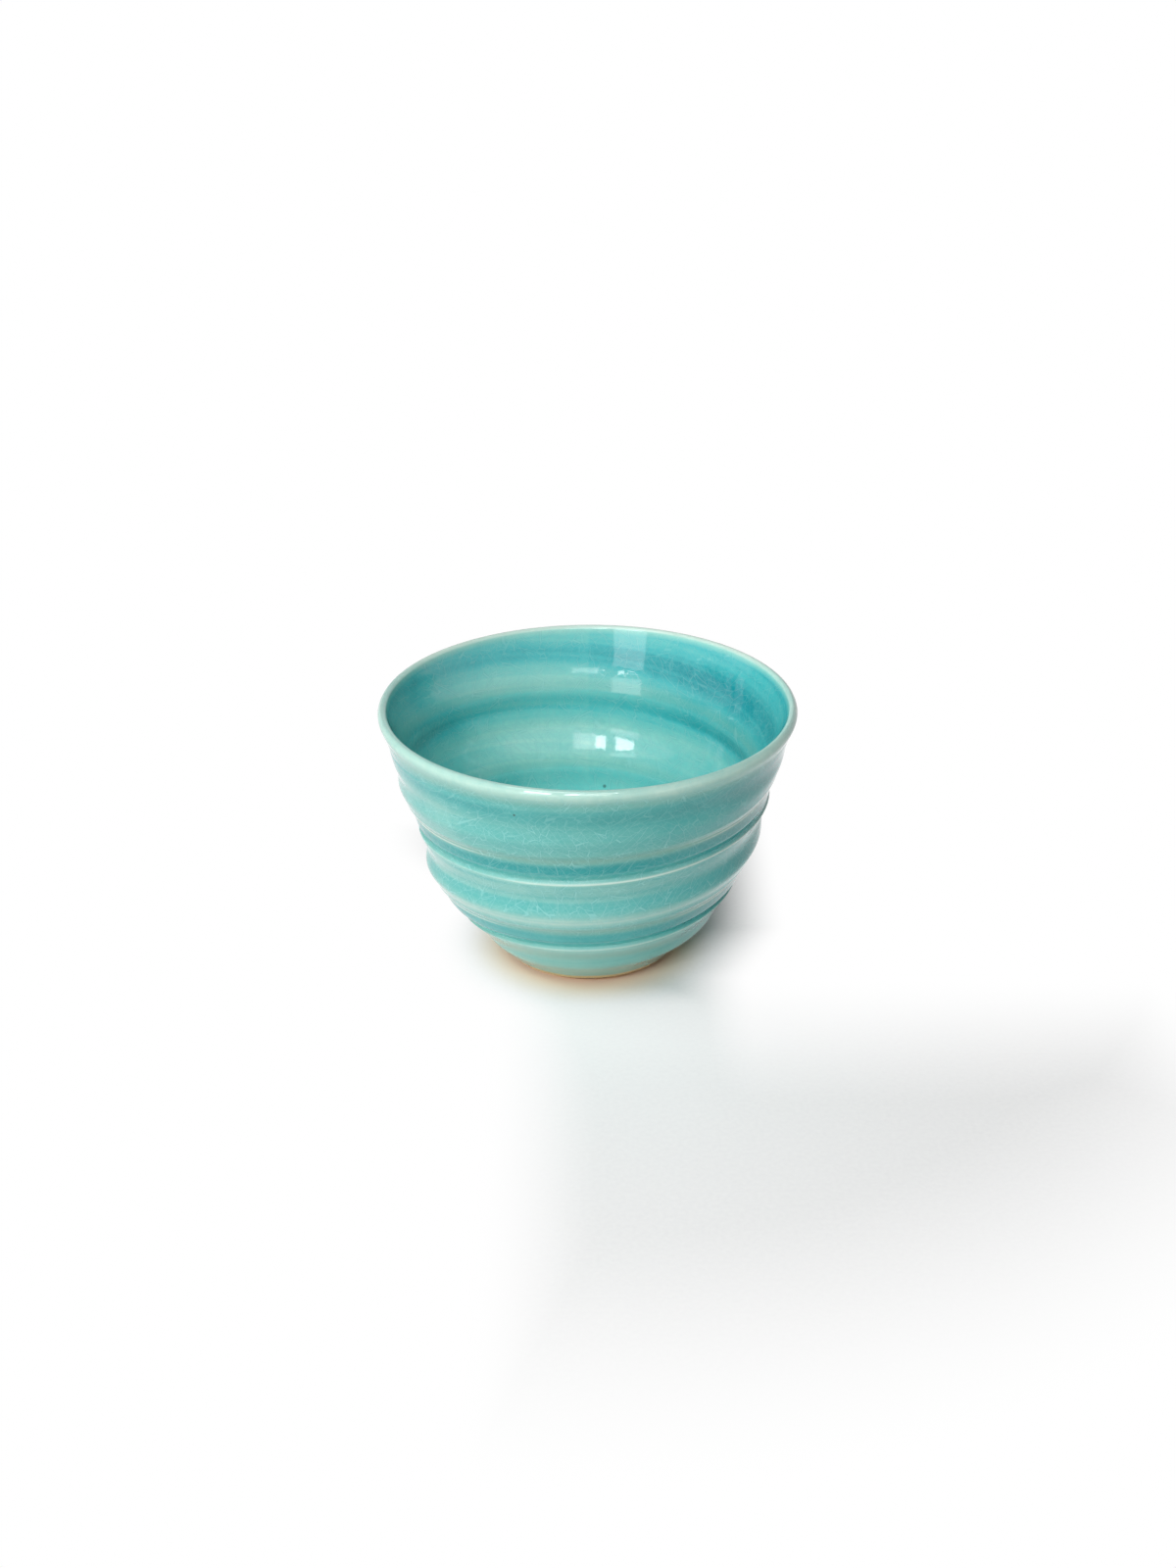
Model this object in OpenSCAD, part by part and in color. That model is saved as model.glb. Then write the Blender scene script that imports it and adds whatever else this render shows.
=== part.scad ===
// Handle-less thrown cup with one spiral throwing ring and a crackle glaze.
// Millimetres, +Z up, origin at the middle of the foot on the table.
// The front of the cup faces -Y.

/* [Cup] */
// Diameter over the rim
rim_d = 106; // [96:1:116]
// Height from the table to the top of the rim
height = 70; // [64:1:78]
// Diameter of the foot where it meets the table
foot_d = 39; // [35:1:42]
// Thickness of the lip, glaze included
lip_t = 2.3; // [2:0.1:3]
// Height of the cup's inside floor above the table
floor_h = 7; // [6:0.5:9]

/* [Throwing ring] */
// Height of the ring's edge at the front, on its first turn
ring_start = 18.2; // [16:0.1:20]
// Rise of the ring in one turn to the right
ring_rise = 22.9; // [20:0.1:26]
// How far the ring leans from an even spiral
ring_lean = 1.2; // [0:0.1:2]
// Strength of the ring on the outside
ring_out = 1; // [0:0.1:1.1]
// Strength of the ring on the inside
ring_in = 1; // [0:0.1:1.1]

/* [Glaze] */
// Thickness of the glaze where it runs thin
glaze_t = 0.3; // [0.25:0.05:0.5]
// Extra thickness where the glaze pools
pool_t = 0.25; // [0:0.05:0.3]
// Height of the bare clay left above the table
bare_h = 1.8; // [1.6:0.1:3]

/* [Foot] */
// Height of the bevel that undercuts the wall at the table
bevel_h = 1.2; // [0.6:0.1:1.4]
// How far the bevel is cut in
bevel_in = 1.2; // [0.6:0.1:1.6]
// Diameter of the turned hollow under the foot
hollow_d = 29; // [24:1:31]
// Depth of the hollow
hollow_h = 1.2; // [0.8:0.1:2]

/* [Fineness] */
// Steps round the cup
steps_round = 40; // [36:2:42]
// Steps up the outside wall
steps_out = 58; // [40:1:60]
// Steps up the inside wall
steps_in = 26; // [16:1:28]

/* [Hidden] */
clay_colour = [0.79, 0.62, 0.45];
outer_colour = [0.45, 0.76, 0.75];
inner_colour = [0.27, 0.64, 0.68];

rim_r = rim_d / 2;
foot_r = foot_d / 2;
hollow_r = hollow_d / 2;
lip_r = lip_t / 2;
lip_centre = [rim_r - lip_r, height - lip_r];

// Outside wall from the foot to just under the lip, as [radius, height]
out_curve = [
    [foot_r + bevel_in, 0],
    [0.864 * rim_r, 0.387 * height],
    [0.715 * rim_r, 0.287 * height],
    [rim_r - 0.5, height - 2.5]
];
// Inside wall from the middle of the floor to the lip
in_curve = [
    [0, floor_h],
    [0.743 * rim_r, floor_h],
    [0.677 * rim_r, 0.402 * height],
    [rim_r - lip_t, height - lip_r]
];

// Section of the ring over one turn, as [part of a turn, mm off the wall curve]
out_marks = [[0, -0.1], [0.08, -0.8], [0.18, -0.1], [0.27, -0.1], [0.32, -0.3], [0.42, 0.9],
    [0.56, 1.4], [0.78, -0.6], [1, -0.1]];
// The same inside: a ridge, a long slope outwards above it, then the ridge's steep underside
in_marks = [[0, -0.57], [0.09, -0.55], [0.57, 0.57], [0.76, 0.57], [1, -0.57]];
// Share of the pooled glaze over one turn: it gathers above each edge of the ring
pool_marks = [[0, 0], [0.08, 1], [0.2, 0.7], [0.29, 0.1], [0.42, 0.7], [0.55, 0.6], [0.75, 0.1], [1, 0]];

// The ring grows above the foot and dies out below the rim
ring_foot = 3;
ring_full = 15;
ring_fall = 44;
ring_end = 64;
ring_left = 0.12;
// The same for the inside, from the floor to below the rim
floor_calm = 12;
floor_full = 26;
in_fall = 15;
in_end = 3;
// The inside ring sits a little higher, and draws together over in_span below the height in_close
in_shift = 0.03;
in_draw = 0.11;
in_close = 52;
in_span = 20;

// Heights of the steps up the outside, close together where the ring is strong
step_plan = [[0, bare_h], [0.15, 0.17 * height], [0.87, 0.75 * height], [1, out_curve[3][1]]];
// First point on the inside curve, at the edge of the flat floor
in_first = 0.07;
// Directions on the lip's round, from the outside over the top to the inside
lip_out = [-5, 30, 60, 90];
lip_in = [90, 120, 150];
// Slope at the edge of the hollow, as a distance
hollow_fillet = 1.2;

function ease(x) = let (c = min(max(x, 0), 1)) c * c * (3 - 2 * c);

// Value at part p of a turn, eased between the two marks around it
function eased(marks, p) =
    let (
        f = p - floor(p),
        k = max([for (i = [0 : len(marks) - 2]) if (marks[i][0] <= f) i]),
        low = marks[k],
        high = marks[k + 1]
    )
    low[1] + (high[1] - low[1]) * ease((f - low[0]) / (high[0] - low[0]));

function bezier(c, t) =
    pow(1 - t, 3) * c[0] + 3 * t * pow(1 - t, 2) * c[1] + 3 * t * t * (1 - t) * c[2] + pow(t, 3) * c[3];

// Point on the curve c at height z, found by halving the span between two points
function at_height(c, z, low = 0, high = 1, halvings = 14) =
    let (mid = (low + high) / 2)
    halvings == 0 ? mid
    : bezier(c, mid)[1] < z ? at_height(c, z, mid, high, halvings - 1)
    : at_height(c, z, low, mid, halvings - 1);

function slope(c, t) =
    pow(1 - t, 2) * (c[1] - c[0]) + 2 * t * (1 - t) * (c[2] - c[1]) + t * t * (c[3] - c[2]);

// Unit direction to the right of the curve: out of the outside wall, into the clay inside
function across(c, t) = let (d = slope(c, t)) [d[1], -d[0]] / norm(d);

// Part of a turn at height z and angle a, where a runs from the front to the right
function turn(z, a) = (z - ring_start + ring_lean * sin(a)) / ring_rise - a / 360;

// The same for the inside, where the ring leans the other way
function in_turn(z, a) =
    (z - ring_start - ring_lean * sin(a)) / ring_rise - a / 360
    - in_shift - in_draw * ease((in_close - z) / in_span);

function fade_out(z) =
    ease((z - ring_foot) / (ring_full - ring_foot))
    * (1 - (1 - ring_left) * ease((z - ring_fall) / (ring_end - ring_fall)));

function fade_in(z) =
    ease((z - floor_calm) / (floor_full - floor_calm)) * ease((height - in_end - z) / (in_fall - in_end));

function glaze(z, a, share) = glaze_t + pool_t * share * eased(pool_marks, turn(z, a));

// Points [radius, height] of the four surfaces at angle a
function out_point(t, a) =
    let (c = bezier(out_curve, t))
    c + [ring_out * fade_out(c[1]) * eased(out_marks, turn(c[1], a)), 0];

function out_clay(t, a) =
    let (z = bezier(out_curve, t)[1])
    out_point(t, a) - glaze(z, a, fade_out(z)) * across(out_curve, t);

function in_point(t, a) =
    let (c = bezier(in_curve, t))
    c + [ring_in * fade_in(c[1]) * eased(in_marks, in_turn(c[1], a)), 0];

function in_clay(t, a) =
    let (z = bezier(in_curve, t)[1])
    in_point(t, a) + glaze(z, a, fade_in(z)) * across(in_curve, t);

function lip_point(r, w) = lip_centre + r * [cos(w), sin(w)];

function turned(p, a) = [p[0] * sin(a), -p[0] * cos(a), p[1]];

angles = [for (i = [0 : steps_round - 1]) 360 * i / steps_round - 180];
out_steps = [for (i = [0 : steps_out]) at_height(out_curve, lookup(i / steps_out, step_plan))];
in_steps = [for (i = [0 : steps_in]) in_first + (1 - in_first) * i / steps_in];

// Closed line of the section at angle a for each sub-part, up the outside and down the inside
function outer_line(a) = concat(
    [for (t = out_steps) out_point(t, a)],
    [for (w = lip_out) lip_point(lip_r, w)],
    [for (i = [len(lip_out) - 1 : -1 : 0]) lip_point(lip_r - glaze_t, lip_out[i])],
    [for (i = [steps_out : -1 : 0]) out_clay(out_steps[i], a)]
);

function inner_line(a) = concat(
    [for (t = in_steps) in_clay(t, a)],
    [for (i = [len(lip_in) - 1 : -1 : 0]) lip_point(lip_r - glaze_t, lip_in[i])],
    [for (w = lip_in) lip_point(lip_r, w)],
    [for (i = [steps_in : -1 : 0]) in_point(in_steps[i], a)]
);

function clay_line(a) = concat(
    [[hollow_r - hollow_fillet, hollow_h], [hollow_r, 0]],
    [[foot_r, 0], out_clay(at_height(out_curve, bevel_h), a)],
    [for (t = out_steps) out_clay(t, a)],
    [for (w = lip_out) lip_point(lip_r - glaze_t, w)],
    [for (i = [1 : len(lip_in) - 1]) lip_point(lip_r - glaze_t, lip_in[i])],
    [for (i = [steps_in : -1 : 0]) in_clay(in_steps[i], a)]
);

// Solid from one section line per angle: a loop closes on itself, the others end in flat discs
module spun(lines, loop) {
    n = len(lines);
    m = len(lines[0]);
    last = loop ? m - 1 : m - 2;
    points = [for (j = [0 : m - 1]) for (i = [0 : n - 1]) turned(lines[i][j], angles[i])];
    sides = [for (j = [0 : last]) for (i = [0 : n - 1])
        let (k = (i + 1) % n, h = (j + 1) % m)
        each [[j * n + i, h * n + i, h * n + k], [j * n + i, h * n + k, j * n + k]]];
    ends = [[for (i = [0 : n - 1]) i], [for (i = [n - 1 : -1 : 0]) (m - 1) * n + i]];
    polyhedron(points, loop ? sides : concat(sides, ends), convexity = 8);
}

// Fired clay: wall, floor and foot with its turned hollow
module clay_body() {
    color(clay_colour)
        spun([for (a = angles) clay_line(a)], false);
}

// Glaze coat on the outside, from the bare clay up to the top of the lip
module outer_glaze() {
    color(outer_colour)
        spun([for (a = angles) outer_line(a)], true);
}

// Glaze coat on the inside, from the top of the lip down over the floor
module inner_glaze() {
    color(inner_colour)
        spun([for (a = angles) inner_line(a)], false);
}

clay_body();
outer_glaze();
inner_glaze();
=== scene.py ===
import math

import bpy
import numpy as np
from mathutils import Matrix, Vector


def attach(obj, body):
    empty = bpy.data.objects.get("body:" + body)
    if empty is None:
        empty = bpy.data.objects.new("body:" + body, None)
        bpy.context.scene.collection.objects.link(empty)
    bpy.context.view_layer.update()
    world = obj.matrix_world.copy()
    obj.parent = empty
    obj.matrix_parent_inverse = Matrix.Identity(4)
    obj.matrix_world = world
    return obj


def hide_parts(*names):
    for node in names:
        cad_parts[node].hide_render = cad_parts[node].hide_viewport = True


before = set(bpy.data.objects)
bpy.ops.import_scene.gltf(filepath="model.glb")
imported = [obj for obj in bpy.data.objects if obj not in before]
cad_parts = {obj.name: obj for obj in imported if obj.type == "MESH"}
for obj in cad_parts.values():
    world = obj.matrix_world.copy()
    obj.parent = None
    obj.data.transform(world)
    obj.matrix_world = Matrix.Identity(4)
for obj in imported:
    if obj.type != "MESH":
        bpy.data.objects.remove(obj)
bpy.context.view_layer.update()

# Handle-less thrown cup with a spiral throwing ring and a turquoise crackle glaze.
# Lengths are millimetres in the shape functions, as in the part's source, and metres in the
# materials and on the stage. Angle a runs from the front (-Y) to the right (+X), in degrees.
MM = 0.001
TAU = 2 * math.pi
COLUMNS = 384
SHARP = math.radians(55)
ANGLES = np.arange(COLUMNS) * 360 / COLUMNS - 180

# Cup
RIM_R = 53.0
HEIGHT = 70.0
FOOT_R = 19.5
BEVEL_H, BEVEL_IN = 0.9, 1.6
HOLLOW_R, HOLLOW_H, HOLLOW_FILLET = 14.5, 1.2, 1.2
FLOOR_H = 7.0
LIP_R = 1.15
LIP_CENTRE = np.array([RIM_R - LIP_R, HEIGHT - LIP_R])
OUT_CURVE = np.array([[FOOT_R + BEVEL_IN, 0], [0.864 * RIM_R, 0.387 * HEIGHT],
                      [0.715 * RIM_R, 0.287 * HEIGHT], [RIM_R - 0.5, HEIGHT - 2.5]])
IN_CURVE = np.array([[0, FLOOR_H], [0.743 * RIM_R, FLOOR_H],
                     [0.677 * RIM_R, 0.402 * HEIGHT], [RIM_R - 2 * LIP_R, HEIGHT - LIP_R]])
# Part of the inside curve that runs along the floor
FLOOR_PART = 0.3
# The clay's outside and the back of its glaze end at this height, under the lip's round
CLAY_TOP = 66.5
# How far the scene's clay is held back from the glaze outside, on the lip and inside
CLEAR_OUT, CLEAR_LIP, CLEAR_IN = np.array([0.05, 0]), 0.02, np.array([-0.02, 0.02])
# Bevel: how far its rounded ends reach along the table and up the wall, and the rows in each
HEEL, TURN_UP, CORNER_ROWS = 0.4, 0.4, 7
# Height and pitch of the finger spiral on the floor and of the turning lines under the foot
FINGER_H, FINGER_PITCH = 0.10, 4.6
TURNING_H, TURNING_PITCH = 0.045, 1.7

# Throwing ring outside: its section as [part of a turn, mm off the wall curve]
RING_START, RING_RISE, RING_LEAN = 18.4, 23.15, 1.2
OUT_MARKS = [[0, -0.05], [0.035, -1.05], [0.15, -0.2], [0.305, -0.25], [0.405, 0.75],
             [0.56, 1.4], [0.78, -0.6], [1, -0.05]]
# Heights over which it grows above the foot and dies out below the rim, and what is left of it
RING_GROWS, RING_DIES, RING_LEFT = (3, 15), (44, 64), 0.12

# Inside: a ridge, a long slope outwards above it, then the ridge's steep underside
IN_START, IN_RISE = 18.2, 22.9
IN_MARKS = [[0, -0.57], [0.09, -0.55], [0.57, 0.57], [0.76, 0.57], [1, -0.57]]
IN_GROWS, IN_DIES = (12, 26), (HEIGHT - 15, HEIGHT - 3)
# The ring inside sits a little higher, and draws together between these heights
IN_SHIFT, IN_DRAW, IN_DRAWN = 0.03, 0.11, (32, 52)

# Glaze: thickness, what pools on top of it over one turn of the ring, and the bare strip below it
GLAZE_T, POOL_T = 0.3, 0.25
POOL_MARKS = [[0, 0], [0.08, 1], [0.2, 0.7], [0.29, 0.1], [0.42, 0.7], [0.55, 0.6], [0.75, 0.1],
              [1, 0]]
BARE_H = 1.6
# Waves in its lower edge: mm, waves a turn, phase
EDGE_WAVES = [(0.16, 3, 0.5), (0.10, 7, 2.0), (0.06, 13, 1.0)]
# The edge's waves die out over this height above it; the coat rolls off to its least thickness
EDGE_CALM, ROLL_H, EDGE_T = 5, 0.55, 0.02

# Lip's outer slope: first direction in degrees, rows, radius, and the larger radius near one
# direction, as mm, degrees and width in degrees
LIP_FROM, LIP_ROWS, LIP_BEND, LIP_FLAT = 8, 60, 0.86, (2.7, 29.2, 7)
WALL_TOP, NECK_PULL = 65.6, 1.0

# The hand's unevenness: mm, waves a turn, phase, mm of height a radian
WOBBLES = [(0.10, 2, 0.6, 31), (0.07, 3, 2.1, -19), (0.04, 5, 4.0, 8)]
# Heights over which it grows from the foot and dies out to the lip
CALM_FOOT, CALM_LIP = (0, 20), (HEIGHT - 14, HEIGHT)
# Places where the outside swells: angle, its width, height, its width, and mm off the radius
SWELLS = [(-75, 30, 19.5, 4.0, 0.9), (78, 22, 46.0, 2.5, 0.5), (-80, 25, 57.0, 3.0, 0.5)]
# The same with the height taken from the ring's second edge
RING_SWELLS = [(82, 30, 1.0, 1.0, 0.65), (84, 24, -6.0, 2.2, 0.9)]

# How deep the glaze lies over one turn: outside on the lower and the upper wall, and inside, where
# the deepest values, on the ridge's underside, are partly painted shade
LOWER_DEPTH = [[0, 0.26], [0.04, 0.50], [0.11, 0.85], [0.21, 0.82], [0.30, 0.55], [0.38, 0.42],
               [0.45, 0.24], [0.53, 0.20], [0.61, 0.46], [0.68, 0.52], [0.78, 0.40], [0.88, 0.32],
               [0.95, 0.31], [1, 0.26]]
UPPER_DEPTH = [[0, 0.24], [0.04, 0.44], [0.09, 0.56], [0.15, 0.95], [0.21, 1.0], [0.285, 0.58],
               [0.36, 0.50], [0.45, 0.54], [0.56, 0.56], [0.70, 0.52], [0.88, 0.42], [0.95, 0.38],
               [1, 0.24]]
INNER_DEPTH = [[0, 0.44], [0.04, 0.36], [0.12, 0.28], [0.24, 0.30], [0.40, 0.30], [0.54, 0.23],
               [0.62, 0.34], [0.70, 0.46], [0.80, 0.60], [0.90, 0.56], [1, 0.44]]

# Fine throwing lines: waves a turn of the ring, and five random numbers for each, on both sides
STREAK_WAVES = np.array([5, 7, 9, 12, 14, 17, 20, 23, 27, 31, 36, 42])
STREAK_RANDOM = np.random.default_rng(7).uniform(0, 1, (2, 5, len(STREAK_WAVES)))
OUTSIDE, INSIDE = 0, 1


# Shape functions
def ease(x):
    c = np.clip(x, 0, 1)
    return c * c * (3 - 2 * c)


def rise(x, low, high):
    """From 0 at low to 1 at high, eased."""
    return ease((x - low) / (high - low))


def fall(x, low, high):
    """From 1 at low to 0 at high, eased."""
    return rise(x, high, low)


def bump(x, centre, width):
    return np.exp(-((x - centre) / width) ** 2)


def blend(a, b, share):
    return a + (b - a) * share


def eased(marks, p):
    """Value at part p of a turn, eased between the two marks around it."""
    m = np.array(marks, float)
    f = p - np.floor(p)
    k = np.clip(np.searchsorted(m[:, 0], f, side="right") - 1, 0, len(m) - 2)
    low, high = m[k], m[k + 1]
    return blend(low[..., 1], high[..., 1], rise(f, low[..., 0], high[..., 0]))


def bezier(c, t):
    t = np.asarray(t)[..., None]
    s = 1 - t
    return s ** 3 * c[0] + 3 * t * s ** 2 * c[1] + 3 * t * t * s * c[2] + t ** 3 * c[3]


def across(c, t):
    """Unit direction to the right of a curve: out of the outside wall, into the clay inside."""
    t = np.asarray(t)[..., None]
    s = 1 - t
    d = s ** 2 * (c[1] - c[0]) + 2 * t * s * (c[2] - c[1]) + t * t * (c[3] - c[2])
    n = np.stack([d[..., 1], -d[..., 0]], -1)
    return n / np.linalg.norm(n, axis=-1, keepdims=True)


def at_height(c, z):
    """Where on the curve c the height z lies."""
    fine = np.linspace(0, 1, 4001)
    return np.interp(z, bezier(c, fine)[:, 1], fine)


def rounded(start, corner, end):
    """Curve from start to end that rounds off a corner."""
    s = np.linspace(0, 1, CORNER_ROWS)[:, None, None]
    return (1 - s) ** 2 * start + 2 * s * (1 - s) * corner + s * s * end


def turn(z, a):
    """Part of a turn of the ring at height z and angle a."""
    return (z - RING_START + RING_LEAN * np.sin(np.radians(a))) / RING_RISE - a / 360


def in_turn(z, a):
    """The same inside, where the ring leans the other way and runs closer together low down."""
    even = (z - IN_START - RING_LEAN * np.sin(np.radians(a))) / IN_RISE - a / 360
    return even - IN_SHIFT - IN_DRAW * fall(z, *IN_DRAWN)


def fade_out(z):
    return rise(z, *RING_GROWS) * (1 - (1 - RING_LEFT) * rise(z, *RING_DIES))


def fade_in(z):
    return rise(z, *IN_GROWS) * fall(z, *IN_DIES)


def wobble(z, a):
    """Unevenness of both sides, in mm off the radius; it dies out at the foot and at the lip."""
    w = np.radians(a)
    total = 0
    for size, waves, phase, pitch in WOBBLES:
        total = total + size * np.sin(waves * w + phase + z / pitch)
    return total * rise(z, *CALM_FOOT) * fall(z, *CALM_LIP)


def swell(z, a):
    """Unevenness of the outside only, in mm off the radius."""
    off_edge = (turn(z, a) - 1) * RING_RISE
    total = 0
    for places, height in ((SWELLS, z), (RING_SWELLS, off_edge)):
        for angle, angle_width, level, level_width, size in places:
            total = total + size * bump(a, angle, angle_width) * bump(height, level, level_width)
    return total


def streaks(z, a, which):
    """Fine throwing lines along the ring, about -1 to 1. They close at the back, since each has
    a whole number of waves a turn."""
    p, w = turn(z, a), np.radians(a)
    total = np.zeros_like(p)
    for waves, phase, at_side, pitch, at_level, drift in zip(STREAK_WAVES, *STREAK_RANDOM[which]):
        local = np.sin(w + TAU * at_side) * np.sin(z / (5 + 9 * pitch) + TAU * at_level)
        line = np.cos(TAU * (waves * p + phase) + (4 * drift - 2) * z / RING_RISE)
        total += waves ** -0.4 * (0.6 + 0.4 * local) * line
    return total / 1.1


def glaze(z, a, share):
    return GLAZE_T + POOL_T * share * eased(POOL_MARKS, turn(z, a))


# Points [radius, height] of the four surfaces: outside by height, inside by place on the curve
def out_point(z, a):
    p = bezier(OUT_CURVE, at_height(OUT_CURVE, z))
    p[..., 0] += fade_out(z) * eased(OUT_MARKS, turn(z, a)) + wobble(z, a) + swell(z, a)
    return p


def out_clay(z, a):
    n = across(OUT_CURVE, at_height(OUT_CURVE, z))
    return out_point(z, a) - glaze(z, a, fade_out(z))[..., None] * n


def in_point(t, a):
    p = bezier(IN_CURVE, t)
    z = p[..., 1].copy()
    p[..., 0] += fade_in(z) * eased(IN_MARKS, in_turn(z, a)) + wobble(z, a)
    return p


def in_clay(t, a):
    z = bezier(IN_CURVE, t)[..., 1]
    return in_point(t, a) + glaze(z, a, fade_in(z))[..., None] * across(IN_CURVE, t)


def lip(r, degrees):
    w = np.radians(degrees)
    return LIP_CENTRE + r * np.stack([np.cos(w), np.sin(w)], -1)


def lip_slope():
    """Lip from its outside to its top, flatter on the outer slope."""
    size, at, width = LIP_FLAT
    facing = np.linspace(LIP_FROM, 90, LIP_ROWS)
    bend = LIP_BEND + size * bump(facing, at, width)
    w = np.radians(facing)
    way = np.stack([-np.sin(w), np.cos(w)], -1) * bend[:, None] * (w[1] - w[0])
    points = np.concatenate([[[0, 0]], np.cumsum((way[1:] + way[:-1]) / 2, 0)])
    return points - points[-1] + lip(LIP_R, 90.0)


def down_inside(last):
    """Places down the inside curve, from the lip to near the middle of the floor."""
    t = np.concatenate([np.linspace(1, FLOOR_PART, 60), np.linspace(FLOOR_PART, last, 14)[1:]])
    return t[:, None]


# Meshes
def whole_rows(points):
    """One point per row, the same at every angle, as rows x columns x 2."""
    return np.repeat(points[:, None, :], COLUMNS, 1)


def spun_mesh(name, rows, closed, caps=(False, False)):
    """Mesh from section points, rows x columns x [radius, height]. Closed joins the last row to
    the first; a cap closes the first or the last row with a fan."""
    m = len(rows)
    w = np.radians(ANGLES)
    xyz = np.stack([rows[..., 0] * np.sin(w), -rows[..., 0] * np.cos(w), rows[..., 1]], -1) * MM
    verts = xyz.reshape(-1, 3)
    columns = np.arange(COLUMNS)
    j, i = np.meshgrid(np.arange(m if closed else m - 1), columns, indexing="ij")
    k, h = (i + 1) % COLUMNS, (j + 1) % m
    corners = [j * COLUMNS + i, j * COLUMNS + k, h * COLUMNS + k, h * COLUMNS + i]
    faces = np.stack(corners, -1).reshape(-1, 4).tolist()
    centres = []
    for end, wanted in zip((0, m - 1), caps):
        if wanted:
            ring = end * COLUMNS + columns
            centre = len(verts) + len(centres)
            centres.append([0, 0, xyz[end, :, 2].mean()])
            order = (ring, np.roll(ring, -1)) if end else (np.roll(ring, -1), ring)
            faces += [[int(p), int(q), centre] for p, q in zip(*order)]
    if centres:
        verts = np.concatenate([verts, centres])
    mesh = bpy.data.meshes.new(name)
    mesh.from_pydata(verts.tolist(), [], faces)
    mesh.validate()
    mesh.polygons.foreach_set("use_smooth", np.ones(len(mesh.polygons), bool))
    mesh.set_sharp_from_angle(angle=SHARP)
    mesh.update()
    piece = bpy.data.objects.new(name, mesh)
    bpy.context.scene.collection.objects.link(piece)
    return piece


def paint(piece, values):
    """Float attributes on the vertices; vertices past the given values take the last one."""
    for name, numbers in values.items():
        given = np.clip(numbers, 0, 1).reshape(-1)
        v = np.full(len(piece.data.vertices), given[-1], np.float32)
        v[:given.size] = given
        piece.data.attributes.new(name, "FLOAT", "POINT").data.foreach_set("value", v)


# Values that the glazes are coloured by, at heights z and angles a
def outer_values(z, a, edge):
    p = turn(z, a)
    f = p - np.floor(p)
    off_edge = (p - np.floor(p + 0.5)) * RING_RISE
    side = np.abs(a)
    upper, low, near_lip = rise(z, 38, 45), fall(z, 15.3, 17.8), rise(z, 64.2, 67.6)
    left = fall(a, -35, -15)

    # Deep in pools above each edge, thin over ridges, at the lip and by the foot
    depth_and_shade = blend(eased(LOWER_DEPTH, p), eased(UPPER_DEPTH, p), upper)
    depth_and_shade = blend(depth_and_shade, 0.52, rise(z, 56, 59)) + 0.30 * bump(z, 61.6, 3.0)
    depth_and_shade = blend(depth_and_shade, 0.37 + 0.08 * bump(z, 13.6, 1.6) - 0.06 * fall(z, 1, 7), low)
    depth_and_shade = blend(depth_and_shade, 0.20, near_lip) - 0.12 * bump(z, 68.8, 1.2)
    depth_and_shade += 0.05 * streaks(z, a, OUTSIDE) * (1 - 0.5 * near_lip)
    # Painted shade: deeper, so darker, at the shaded right; paler at the left high up, and deeper
    # under each edge at the left
    depth_and_shade += 0.17 * bump(a, 52, 30) * (1 - near_lip)
    depth_and_shade += 0.09 * bump(a, 54, 30) * rise(z, 17, 21) * fall(z, 52, 58)
    depth_and_shade -= 0.14 * fall(a, -52, -22) * rise(z, 42, 50) * (1 - near_lip)
    depth_and_shade += 0.14 * left * bump(off_edge, -1.2, 0.9) * rise(z, 26, 32)

    # Where the clay greys the thin coat
    grey = 0.75 * bump(f, 0.30, 0.05) * rise(z, 22, 26) + 0.30 * bump(f, 0.36, 0.06)
    grey = grey * fall(z, 54, 58) + 0.50 * bump(z, 65.6, 1.5) + 0.42 * low + 0.15 * fall(z, 1, 6)
    grey += 0.22 * rise(z, 46, 51) * fall(z, 62, 66) * bump(a, 0, 40)

    # Pale where the glaze breaks on the ring's edge, creases and a ridge, with painted highlight on
    # the creases and painted light on the lip at the back
    pale = bump(off_edge, -0.05, 0.23) * rise(z, 12, 16) * fall(z, 54, 60)
    pale *= (0.40 + 0.45 * upper) * (1 - 0.72 * left)
    # The creases' pale lines are thin glaze, kept to the flanks and strongest at the lit left, so
    # they also paint the highlight the creases catch
    crease = bump((f - 0.285) * RING_RISE, 0, 0.22) + 0.6 * bump((f - 0.328) * RING_RISE, 0, 0.20)
    crease *= rise(side, 24, 48) * fall(z, 49, 55) * (0.60 + 0.25 * fall(a, -65, -45))
    ridge = 0.22 * bump((f - 0.48) * RING_RISE, 0, 0.60) * (1 - upper)
    pale += (crease + ridge) * rise(z, 18, 22) * fall(z, 54, 60)
    # Painted light on the lip at the back, in place of light from behind
    pale += 0.55 * rise(side, 100, 130) * rise(z, 68.4, 69.4)

    # The clay shows through the lowest strip, and the coat is drier there, on the pale edges and
    # on the lower ledges
    thin = fall(z - edge, 1.3, 2.2)
    dry = fall(z - edge, 0.5, 1.4) + 0.8 * pale + 0.9 * bump(off_edge, 0.45, 0.6) * (1 - upper)
    return {"depth_and_shade": depth_and_shade, "grey": grey, "pale": pale, "thin": thin, "dry": dry}


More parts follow.
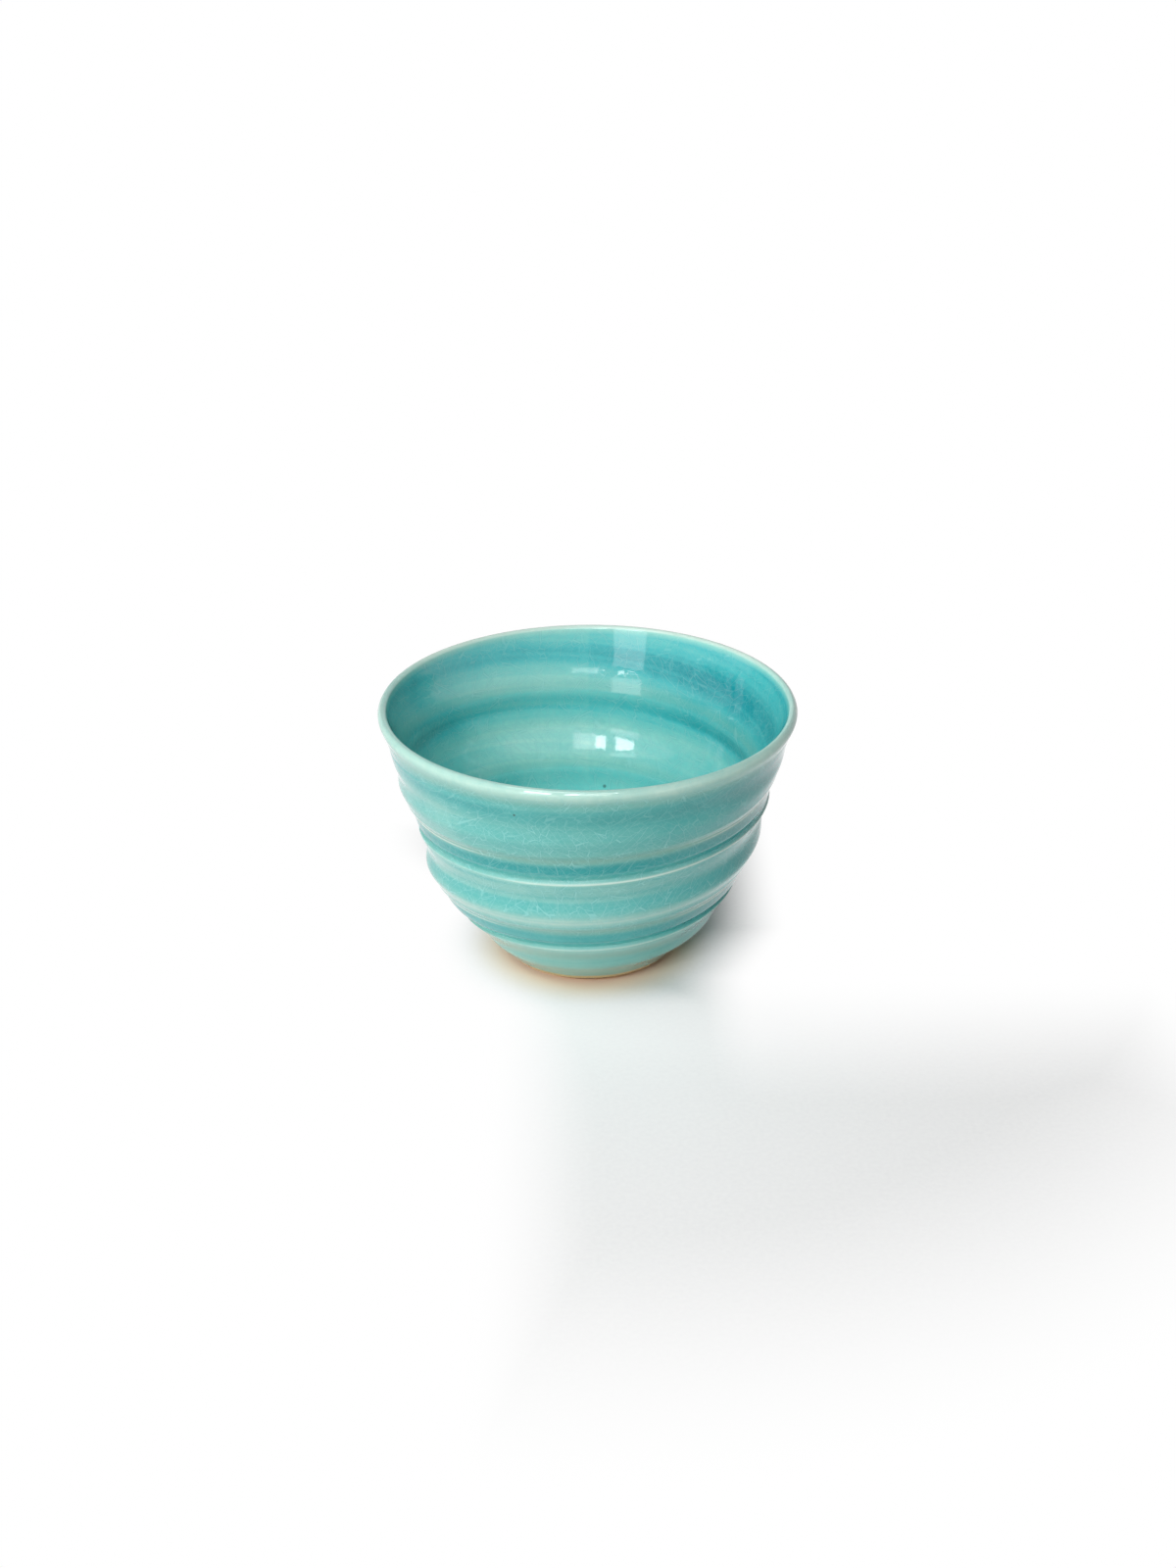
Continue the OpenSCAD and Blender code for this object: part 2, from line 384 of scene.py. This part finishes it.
def inner_values(z, a):
    p = in_turn(z, a)
    f = p - np.floor(p)
    right, left = bump(a, 120, 50), bump(a, -108, 26)
    floor, near_lip = fall(z, 28, 33), rise(z, 68.2, 69.5)
    # Deeper at the right; deeper still at the inner left, which faces away from the light, and on
    # the ridge's underside at the right: painted shade
    depth_and_shade = eased(INNER_DEPTH, p) + 0.18 * right + 0.30 * left + 0.10 * right * bump(f, 0.85, 0.08)
    # Deep band under the rim, deepest at the right, then the glaze that gathers towards the floor
    band = bump(z, 62.8 - 4 * np.sin(np.radians(a)), 4.2 + 2.6 * right)
    depth_and_shade = blend(depth_and_shade, 0.78 + 0.22 * right, band)
    depth_and_shade = blend(depth_and_shade, 0.50, floor)
    depth_and_shade = blend(depth_and_shade, 0.25, near_lip)
    depth_and_shade += 0.05 * streaks(z, a, INSIDE) * (1 - 0.6 * floor) * (1 - 0.6 * near_lip)
    # Greyer at the inner left: painted shade there
    grey = 0.25 * bump(f, 0.05, 0.08) * (1 - floor) + 0.10 * left * (1 - near_lip)
    # Pale on the lip all round, with painted light added at the back of the lip
    pale = (0.20 + 0.40 * rise(np.abs(a), 100, 130)) * rise(z, 69.0, 69.8)
    return {"depth_and_shade": depth_and_shade, "grey": grey, "pale": pale, "thin": 0 * depth_and_shade, "dry": 0.8 * pale}


# Pieces
def make_outer():
    a = ANGLES[None, :]
    # The glaze stops in an uneven edge above the foot
    w = np.radians(a)
    edge = BARE_H + sum(size * np.sin(waves * w + phase) for size, waves, phase in EDGE_WAVES)
    levels = np.concatenate([np.linspace(0, EDGE_CALM, 25)[:-1],
                             np.linspace(EDGE_CALM, WALL_TOP, 272)])[:, None]
    z = levels + edge * fall(levels, 0, EDGE_CALM)
    wall = out_point(z, a)
    # Rolled lower edge
    above = np.clip((z - edge) / ROLL_H, 0, 1)
    roll = np.sqrt(np.clip(1 - (1 - above) ** 2, 0, 1))
    thick = glaze(z, a, fade_out(z))
    n = across(OUT_CURVE, at_height(OUT_CURVE, z))
    wall -= ((1 - roll) * (thick - EDGE_T))[..., None] * n
    # Wall to lip in one smooth curve
    arc = whole_rows(lip_slope())
    up = wall[-1] - wall[-2]
    up /= np.linalg.norm(up, axis=-1, keepdims=True)
    onto_lip = np.array([-math.sin(math.radians(LIP_FROM)), math.cos(math.radians(LIP_FROM))])
    ends = [wall[-1], wall[-1] + NECK_PULL * up, arc[0] - NECK_PULL * onto_lip, arc[0]]
    neck = bezier(ends, np.linspace(0, 1, 14)[1:-1, None])
    # Back of the coat, against the clay
    inner_arc = whole_rows(lip(LIP_R - GLAZE_T, np.array([90.0, 60.0, 30.0, -5.0])))
    back_levels = np.concatenate([np.linspace(CLAY_TOP, EDGE_CALM, 130),
                                  np.linspace(EDGE_CALM, 0, 11)[1:]])[:, None]
    back = out_clay(back_levels + edge * fall(back_levels, 0, EDGE_CALM), a)
    rows = np.concatenate([wall, neck, arc, inner_arc, back])
    piece = spun_mesh("outer_glaze_coat", rows, True)
    heights = np.concatenate([z, rows[len(z):, :, 1]])
    paint(piece, outer_values(heights, np.broadcast_to(a, heights.shape), edge))
    return piece


def make_inner():
    a = ANGLES[None, :]
    t = np.concatenate([np.linspace(0.012, FLOOR_PART, 60)[:-1],
                        np.linspace(FLOOR_PART, 0.992, 210)])
    t = t[:, None] + 0 * a
    wall = in_point(t, a)
    # The floor keeps a faint spiral from the potter's finger
    r = wall[..., 0]
    spiral = FINGER_H * np.cos(TAU * (r / FINGER_PITCH - a / 360))
    wall[..., 1] += spiral * rise(r, 0, 5) * fall(r, 18, 24)
    arc = whole_rows(lip(LIP_R, np.concatenate([np.arange(162, 94, -6), [93.0, 91.0, 90.0]])))
    # Back of the coat, against the clay
    lower_arc = whole_rows(lip(LIP_R - GLAZE_T, np.array([90.0, 120.0, 150.0])))
    back = in_clay(down_inside(0.05) + 0 * a, a)
    rows = np.concatenate([wall, arc, lower_arc, back])
    piece = spun_mesh("inner_glaze_coat", rows[::-1], False, (True, True))
    heights = np.concatenate([bezier(IN_CURVE, t)[..., 1], rows[len(wall):, :, 1]])
    values = inner_values(heights, np.broadcast_to(a, heights.shape))
    paint(piece, {name: numbers[::-1] for name, numbers in values.items()})
    return piece


def make_clay():
    a = ANGLES[None, :]
    # Underside from the middle of the hollow to the foot's edge, with fine turning lines
    r = np.linspace(0.4, HOLLOW_R - HOLLOW_FILLET, 44)[:, None]
    lines = TURNING_H * np.cos(TAU * r / TURNING_PITCH - np.radians(a)) * rise(r, 0.4, 2.4)
    hollow = np.stack([r + 0 * a, HOLLOW_H - 0.05 * rise(r, 0, 12) + lines], -1)
    w = np.radians(np.linspace(90, 0, 9))[1:]
    fillet = np.stack([HOLLOW_R - HOLLOW_FILLET * np.sin(w),
                       0.35 + (HOLLOW_H - 0.4) * (1 - np.cos(w))], -1)
    inner_edge = np.array([[HOLLOW_R + 0.05, 0.15], [HOLLOW_R + 0.2, 0.03], [HOLLOW_R + 0.4, 0.0]])
    flat = np.stack([np.linspace(HOLLOW_R + 0.8, FOOT_R - 0.8, 12), np.zeros(12)], -1)
    foot = whole_rows(np.concatenate([fillet, inner_edge, flat]))
    # Bevel from the foot up to the wall, both ends rounded off
    table = np.array([FOOT_R, 0.0])
    corner = out_clay(BEVEL_H + 0 * a, a)
    start = out_clay(BEVEL_H + TURN_UP + 0 * a, a)
    heel = rounded(table - [HEEL, 0], table, blend(table, corner, 0.3))
    turn_up = rounded(blend(table, corner, 0.7), corner, start)
    # Wall and lip
    levels = np.linspace(BEVEL_H + TURN_UP + 0.15, CLAY_TOP, 200)[:, None]
    outside = out_clay(levels + 0 * a, a) - CLEAR_OUT
    arc = whole_rows(lip(LIP_R - GLAZE_T - CLEAR_LIP, np.arange(-5, 151, 15)))
    inside = in_clay(down_inside(0.03) + 0 * a, a) - CLEAR_IN
    rows = np.concatenate([hollow, foot, heel, turn_up, outside, arc, inside])
    return spun_mesh("clay_core", rows, False, (True, True))


# Materials
class Nodes:
    """Short way to add nodes to one tree: a new material's, or the one given."""

    def __init__(self, name="", tree=None):
        if tree is None:
            self.material = bpy.data.materials.new(name)
            self.material.use_nodes = True
            tree = self.material.node_tree
        self.tree = tree
        self.tree.nodes.clear()

    def put(self, socket, value):
        if isinstance(value, bpy.types.NodeSocket):
            self.tree.links.new(value, socket)
        else:
            socket.default_value = value

    def add(self, kind, settings=None, **inputs):
        """New node; an input is given by its name, or by its number as i0, i1 and so on."""
        node = self.tree.nodes.new("ShaderNode" + kind)
        for key, value in (settings or {}).items():
            setattr(node, key, value)
        for key, value in inputs.items():
            by_number = key[0] == "i" and key[1:].isdigit()
            self.put(node.inputs[int(key[1:]) if by_number else key], value)
        return node

    def close(self, shader, output="OutputMaterial"):
        self.put(self.add(output).inputs[0], shader.outputs[0])

    def math(self, operation, a, b=0.0, clamp=False, c=0.0):
        settings = {"operation": operation, "use_clamp": clamp}
        return self.add("Math", settings, i0=a, i1=b, i2=c).outputs[0]

    def times(self, a, b, clamp=False):
        return self.math("MULTIPLY", a, b, clamp)

    def most(self, a, b):
        return self.math("MAXIMUM", a, b)

    def vector(self, operation, a, b=(0.0, 0.0, 0.0)):
        node = self.add("VectorMath", {"operation": operation}, i0=a, i1=b)
        return node.outputs["Value" if operation in ("LENGTH", "DISTANCE") else "Vector"]

    def noise(self, place, scale, detail, roughness=0.5, output=0):
        node = self.add("TexNoise", None, Vector=place, Scale=scale, Detail=detail,
                        Roughness=roughness)
        return node.outputs[output]

    def span(self, value, low, high, to_low=0.0, to_high=1.0, kind="SMOOTHSTEP"):
        """Value carried from one span to another, by a smooth step or as the kind says."""
        node = self.add("MapRange", {"interpolation_type": kind},
                        i0=value, i1=low, i2=high, i3=to_low, i4=to_high)
        return node.outputs[0]

    def mix(self, factor, a, b):
        node = self.add("Mix", {"data_type": "RGBA"}, i0=factor, i6=a, i7=b)
        return node.outputs[2]

    def ramp(self, value, stops):
        node = self.add("ValToRGB", None, i0=value)
        elements = node.color_ramp.elements
        while len(elements) < len(stops):
            elements.new(0.5)
        for element, (place, colour) in zip(elements, stops):
            element.position = place
            element.color = colour
        return node.outputs[0]

    def attribute(self, name):
        settings = {"attribute_type": "GEOMETRY", "attribute_name": name}
        return self.add("Attribute", settings).outputs["Fac"]

    def seen_directly(self):
        """1 where the camera, a reflection or a see-through surface looks, 0 for other light."""
        path = self.add("LightPath").outputs
        seen = self.most(path["Is Camera Ray"], path["Is Glossy Ray"])
        return self.most(seen, path["Is Transmission Ray"])


def srgb(r, g, b):
    """Linear colour from an sRGB triple of 0 to 255."""
    def one(v):
        v /= 255
        return v / 12.92 if v <= 0.04045 else ((v + 0.055) / 1.055) ** 2.4
    return (one(r), one(g), one(b), 1.0)


# Glaze from thin to deep
OUTER_STOPS = [(0.0, srgb(186, 216, 203)), (0.25, srgb(140, 194, 184)), (0.5, srgb(96, 175, 169)),
               (0.75, srgb(58, 162, 160)), (1.0, srgb(24, 144, 144))]
INNER_STOPS = [(0.0, srgb(198, 232, 218)), (0.25, srgb(154, 219, 208)), (0.5, srgb(116, 206, 201)),
               (0.75, srgb(74, 190, 193)), (1.0, srgb(20, 150, 160))]
GREYED, SHOWN_CLAY, PALE_BREAK_AND_LIGHT = srgb(118, 164, 148), srgb(204, 172, 116), srgb(230, 236, 224)
CRACK, CRACK_SHADE, IRON = srgb(176, 236, 232), srgb(40, 128, 136), srgb(38, 52, 48)
# Clay under the foot, and painted shade on the strip next to the glaze, by a cloudy noise, with
# dark spots and pale grain
TOASTED_STOPS = [(0.3, srgb(208, 142, 70)), (0.55, srgb(220, 156, 84)), (0.75, srgb(228, 170, 100))]
SHADED_BROWN_STOPS = [(0.3, srgb(84, 58, 34)), (0.7, srgb(112, 80, 48))]
CLAY_SPOT, CLAY_GRAIN = srgb(122, 82, 52), srgb(222, 192, 152)

# Nets of crackle: lean round the cup in radians a metre of height, stretch along the height, cells
# a metre, half the line's width in metres, and the patches' span with the strength at its ends
CRACKLE = [(-22.0, 0.45, 400.0, 0.00009, (0.38, 0.62, 0.35, 1.0)),
           (15.0, 0.62, 370.0, 0.00009, (0.38, 0.62, 1.0, 0.45)),
           (0.0, 0.90, 640.0, 0.00007, (0.42, 0.60, 0.45, 0.25))]
# How far noise bends the nets, and how deep the bump nodes reach, in metres
CRACKLE_BEND = (0.0024, 0.0024, 0.0024)
RELIEF = 0.0002


def crackle_nets(n, place, height):
    """Fine lines that lean both ways along the wall, broken in patches, and their shade."""
    bend = n.noise(place, scale=70.0, detail=1.0, output="Color")
    bend = n.vector("SUBTRACT", bend, (0.5, 0.5, 0.5))
    bent = n.vector("ADD", place, n.vector("MULTIPLY", bend, CRACKLE_BEND))
    patch = n.noise(place, scale=60.0, detail=2.0)
    lines = shades = None
    for lean, stretch, scale, width, share in CRACKLE:
        turned = n.add("VectorRotate", {"rotation_type": "Z_AXIS"}, Vector=bent,
                       Angle=n.times(height, lean)).outputs[0]
        turned = n.vector("MULTIPLY", turned, (1.0, 1.0, stretch))
        gap = n.add("TexVoronoi", {"feature": "DISTANCE_TO_EDGE"}, Vector=turned, Scale=scale)
        gap, half = gap.outputs["Distance"], width * scale
        strength = n.span(patch, *share)
        line = n.times(n.span(gap, 0.3 * half, half, 1.0, 0.0), strength)
        shade = n.times(n.span(gap, half, 3.0 * half, 1.0, 0.0), strength)
        lines = line if lines is None else n.most(lines, line)
        shades = shade if shades is None else n.most(shades, shade)
    return lines, shades


def glaze_material(name, stops, speck):
    n = Nodes(name)
    place = n.add("TexCoord").outputs["Object"]
    height = n.add("SeparateXYZ", None, i0=place).outputs[2]

    # Colour by glaze depth and painted shade, with cloudy variation, then greyed or thinned down to
    # the clay
    cloud = n.noise(place, scale=95.0, detail=3.0, roughness=0.55)
    fine = n.noise(place, scale=620.0, detail=3.0, roughness=0.6)
    shift = n.math("ADD", n.times(n.math("SUBTRACT", cloud, 0.5), 0.26),
                   n.times(n.math("SUBTRACT", fine, 0.5), 0.14))
    depth_and_shade = n.math("ADD", n.attribute("depth_and_shade"), shift, clamp=True)
    colour = n.ramp(depth_and_shade, stops)
    colour = n.mix(n.times(n.attribute("grey"), 0.8), colour, GREYED)
    colour = n.mix(n.times(n.attribute("thin"), 0.92), colour, SHOWN_CLAY)

    # Crackle, faint in thin and in very deep glaze and by the foot
    lines, shades = crackle_nets(n, place, height)
    seen = n.times(n.span(depth_and_shade, 0.10, 0.30, 0.4, 1.0), n.span(depth_and_shade, 0.50, 0.80, 1.0, 0.6))
    seen = n.times(seen, n.span(height, 0.019, 0.030, 0.15, 1.0))
    crackle = n.times(lines, seen)
    colour = n.mix(n.times(n.times(shades, seen), 0.16), colour, CRACK_SHADE)
    colour = n.mix(n.times(crackle, 0.30), colour, CRACK)

    # Pale breaks on the edges, with the painted highlight on the creases and painted light on the
    # back of the lip, and an iron speck
    colour = n.mix(n.times(n.attribute("pale"), 0.92, clamp=True), colour, PALE_BREAK_AND_LIGHT)
    spot, size, strength = speck
    away = n.vector("DISTANCE", place, spot)
    colour = n.mix(n.span(away, 0.4 * size, size, strength, 0.0), colour, IRON)

    rough = n.span(cloud, 0.3, 0.7, 0.02, 0.045, "LINEAR")
    rough = n.math("MULTIPLY_ADD", n.attribute("dry"), 0.5, c=rough)
    skin = n.noise(place, scale=210.0, detail=2.0)
    relief = n.math("SUBTRACT", n.times(skin, 0.35), n.times(crackle, 0.12))
    surface = n.add("Bump", None, Strength=0.10, Distance=RELIEF, Height=relief).outputs[0]
    shader = n.add("BsdfPrincipled", None, Roughness=rough, IOR=1.5, Normal=surface)
    n.put(shader.inputs["Base Color"], colour)
    n.close(shader)
    return n.material


def clay_material():
    n = Nodes("bare_clay")
    place = n.add("TexCoord").outputs["Object"]
    grain = n.noise(place, scale=1500.0, detail=3.0, roughness=0.65)
    cloud = n.noise(place, scale=130.0, detail=3.0)
    # Toasted orange underneath; the dark brown next to the glaze is painted shade of the gap under
    # the glaze's edge
    height = n.add("SeparateXYZ", None, i0=place).outputs[2]
    from_axis = n.vector("LENGTH", n.vector("MULTIPLY", place, (1.0, 1.0, 0.0)))
    shade_beside_glaze = n.times(n.span(height, 0.0005, 0.0009), n.span(from_axis, 0.0165, 0.0185))
    colour = n.mix(shade_beside_glaze, n.ramp(cloud, TOASTED_STOPS), n.ramp(cloud, SHADED_BROWN_STOPS))
    spot = n.add("TexVoronoi", None, Vector=place, Scale=900.0).outputs["Distance"]
    colour = n.mix(n.span(spot, 0.10, 0.22, 0.55, 0.0), colour, CLAY_SPOT)
    colour = n.mix(n.span(grain, 0.35, 0.7, 0.0, 0.25), colour, CLAY_GRAIN)
    rough = n.span(grain, 0.3, 0.7, 0.74, 0.92, "LINEAR")
    surface = n.add("Bump", None, Strength=0.5, Distance=RELIEF, Height=grain).outputs[0]
    shader = n.add("BsdfPrincipled", None, Roughness=rough, Normal=surface)
    n.put(shader.inputs["Base Color"], colour)
    n.close(shader)
    return n.material


def on_surface(r, z, a):
    """Place in metres of a point at radius r, height z and angle a."""
    w = math.radians(a)
    return (r * math.sin(w) * MM, -r * math.cos(w) * MM, z * MM)


# Iron specks seen at the front and inside at the back, as height and angle
SPECK_OUT, SPECK_IN = (61.7, -20.0), (27.6, 173.0)
speck_out = on_surface(float(out_point(*SPECK_OUT)[0]), *SPECK_OUT)
speck_in = on_surface(float(in_point(at_height(IN_CURVE, SPECK_IN[0]), SPECK_IN[1])[0]), *SPECK_IN)

outer = make_outer()
inner = make_inner()
clay = make_clay()
# A speck's place, radius in metres and strength
outer.data.materials.append(
    glaze_material("outer_crackle_glaze", OUTER_STOPS, (speck_out, 0.00042, 0.85)))
inner.data.materials.append(
    glaze_material("inner_crackle_glaze", INNER_STOPS, (speck_in, 0.00065, 0.6)))
clay.data.materials.append(clay_material())
for piece, node, slot in ((outer, "outer_glaze", "outer_glaze"),
                          (inner, "inner_glaze", "inner_glaze"),
                          (clay, "clay_body", "clay")):
    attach(piece, "root")
    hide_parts(node)


# Stage: pale floor that turns white away from the cup, and soft light from the upper left
FLOOR_HALF = 6.0
WHITE = (1.0, 1.0, 1.0, 1.0)
PAPER_STOPS = [(0.3, (0.90, 0.90, 0.90, 1.0)), (0.7, (0.94, 0.94, 0.935, 1.0))]
# Painted warm glow round the foot, standing in for light thrown off the toasted clay, on the paper
# and where the floor is shown white
WARM_PAPER, WARM_WHITE = (0.93, 0.79, 0.60, 1.0), (1.0, 0.84, 0.66, 1.0)
# Even light from all round
FILL = 0.032

# Camera fitted to the rim, the foot and the ring in the photograph: metres, degrees, millimetres
CAMERA_AT = (0, -0.477455, 0.279154)
CAMERA_PITCH, CAMERA_ROLL = 25.98, -0.35
LENS, SENSOR = 47.25, 36

# Lamps at one distance, facing one point: azimuth from the front to the right, elevation, width,
# height and watts. The panes, the dim glass round them and the high window show as reflections
# inside and on the lip.
LAMP_AWAY, LAMP_AIM = 1.3, Vector((0, 0, 0.04))
LAMPS = {"softbox": (-37, 64, 0.65, 0.65, 7.9),
         "card_left": (-79, 6, 1.4, 0.30, 7.8),
         "pane_left": (-27, 31.8, 0.28, 0.25, 3.22),
         "pane_right": (-8.5, 32.7, 0.15, 0.25, 1.725),
         "pane_dim": (3.2, 31.8, 0.36, 0.25, 1.1),
         "glass": (-26, 16.5, 0.44, 0.36, 1.4),
         "window_high": (3, 43, 0.50, 0.10, 2.0)}
NOT_REFLECTED = "card_left"


def open_floor(n, place, away):
    """Where the floor is burnt out to white, by the distance from the cup's axis and the side."""
    split = n.add("SeparateXYZ", None, i0=place)
    x, y = split.outputs[0], split.outputs[1]
    # Past the soft shadow at the right
    beside = n.add("Clamp", None, i0=y, i1=-0.02, i2=0.006).outputs[0]
    right = n.span(n.math("MULTIPLY_ADD", beside, -0.45, c=x), 0.0262, 0.0515)
    right = n.times(right, n.span(y, -0.095, -0.02))
    # Close by at the left
    behind = n.span(y, 0.0, 0.06, 0.0, 0.035)
    left = n.span(n.math("ADD", x, behind), 0.010, -0.025)
    left = n.times(left, n.span(away, 0.015, 0.042))
    # Partly in front
    front = n.times(n.span(y, -0.020, -0.034, 0.0, 0.40), n.span(y, -0.075, -0.03, 0.4, 1.0))
    # Past the shadow behind the cup, which ends softly, and far off all round
    back = n.span(n.math("MULTIPLY_ADD", y, 0.6, c=away), 0.075, 0.135)
    far = n.span(away, 0.10, 0.20)
    return n.most(n.most(n.most(n.most(right, left), front), back), far)


def make_floor():
    mesh = bpy.data.meshes.new("floor")
    h = FLOOR_HALF
    mesh.from_pydata([(-h, -h, 0), (h, -h, 0), (h, h, 0), (-h, h, 0)], [], [(0, 1, 2, 3)])
    floor = bpy.data.objects.new("floor", mesh)
    bpy.context.scene.collection.objects.link(floor)
    n = Nodes("floor_paper")
    place = n.add("TexCoord").outputs["Object"]
    away = n.vector("LENGTH", place)
    painted_glow = n.span(away, 0.020, 0.034, 1.0, 0.0)
    grain = n.noise(place, scale=900.0, detail=2.0)
    tone = n.mix(painted_glow, n.ramp(grain, PAPER_STOPS), WARM_PAPER)
    paper = n.add("BsdfPrincipled", None, Roughness=0.9)
    n.put(paper.inputs["Base Color"], tone)
    white = n.add("Emission", None, i0=n.mix(painted_glow, WHITE, WARM_WHITE))
    share = n.times(open_floor(n, place, away), n.seen_directly())
    n.close(n.add("MixShader", None, i0=share, i1=paper.outputs[0], i2=white.outputs[0]))
    mesh.materials.append(n.material)


def make_world():
    """White where it is looked at, and a faint even light on things."""
    world = bpy.data.worlds.new("studio")
    bpy.context.scene.world = world
    world.use_nodes = True
    n = Nodes(tree=world.node_tree)
    level = n.math("MULTIPLY_ADD", n.seen_directly(), 1 - FILL, c=FILL)
    n.close(n.add("Background", None, i0=WHITE, i1=level), "OutputWorld")


def make_lamp(name, azimuth, elevation, width, height, watts):
    a, e = math.radians(azimuth), math.radians(elevation)
    lamp = bpy.data.lights.new(name, "AREA")
    lamp.shape = "RECTANGLE"
    lamp.size, lamp.size_y = width, height
    lamp.energy = watts
    direction = Vector((math.sin(a) * math.cos(e), -math.cos(a) * math.cos(e), math.sin(e)))
    holder = bpy.data.objects.new(name, lamp)
    bpy.context.scene.collection.objects.link(holder)
    holder.rotation_mode = "QUATERNION"
    holder.rotation_quaternion = (-direction).to_track_quat("-Z", "Y")
    holder.location = LAMP_AIM + direction * LAMP_AWAY
    holder.visible_glossy = name != NOT_REFLECTED


def make_camera():
    camera = bpy.data.objects.new("camera", bpy.data.cameras.new("camera"))
    camera.data.lens = LENS
    camera.data.sensor_width = SENSOR
    camera.data.clip_start, camera.data.clip_end = 0.01, 50
    camera.matrix_world = (Matrix.Translation(CAMERA_AT)
                           @ Matrix.Rotation(math.radians(90 - CAMERA_PITCH), 4, "X")
                           @ Matrix.Rotation(math.radians(CAMERA_ROLL), 4, "Z"))
    bpy.context.scene.collection.objects.link(camera)
    bpy.context.scene.camera = camera


make_floor()
make_world()
for name, settings in LAMPS.items():
    make_lamp(name, *settings)
make_camera()
bpy.context.scene.view_settings.view_transform = "Standard"
